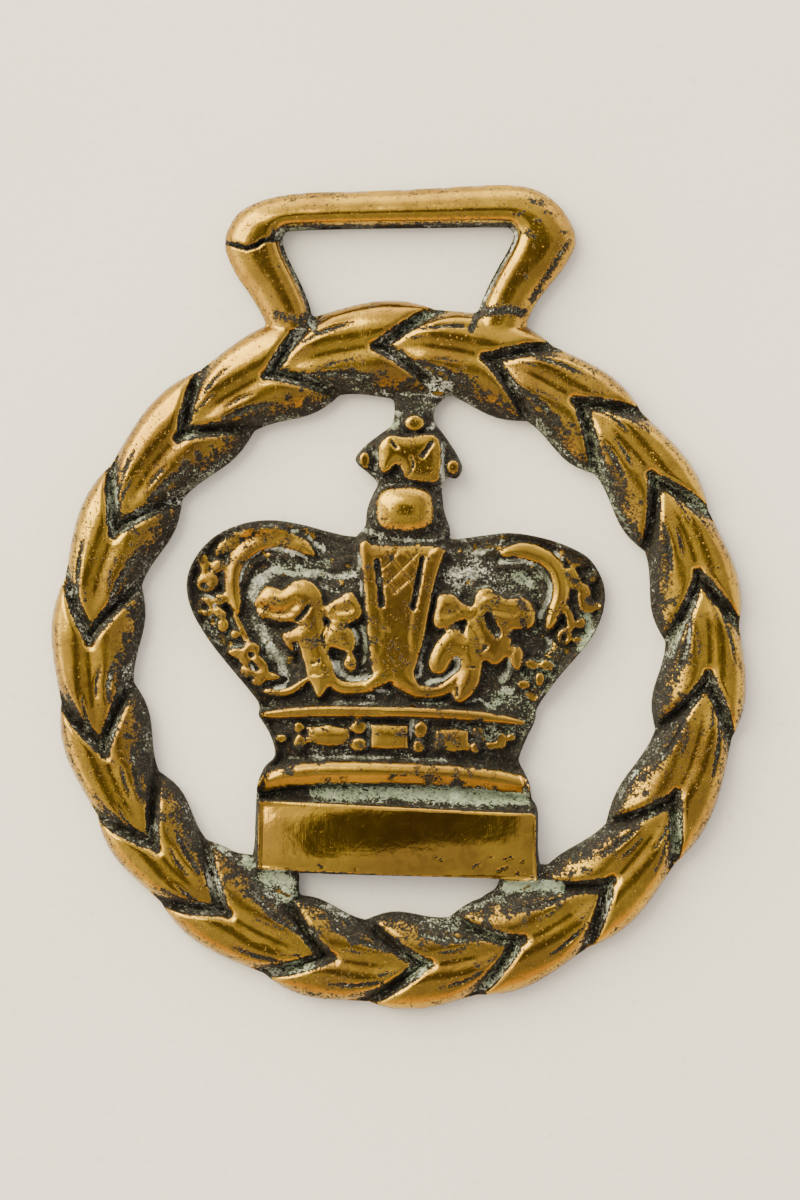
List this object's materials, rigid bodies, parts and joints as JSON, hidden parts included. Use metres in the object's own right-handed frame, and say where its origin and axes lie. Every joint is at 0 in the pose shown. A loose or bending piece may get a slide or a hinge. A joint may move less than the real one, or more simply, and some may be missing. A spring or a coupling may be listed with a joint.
{
  "type": "horse brass",
  "caption": "Cast brass harness ornament: a laurel wreath round a crown on a plinth, with a strap loop on top.",
  "frame": {"origin": "centre of the wreath on the flat back", "axes": "+Z out of the relief, +Y from the crown's foot to the strap loop, +X to the right seen from the front"},
  "size_m": [0.0762, 0.0904, 0.0046],
  "materials": {
    "brass": "old polished brass, tarnished black in its grooves with pale green verdigris"
  },
  "bodies": {
    "root": {"horse_brass": "brass"}
  },
  "joints": []
}
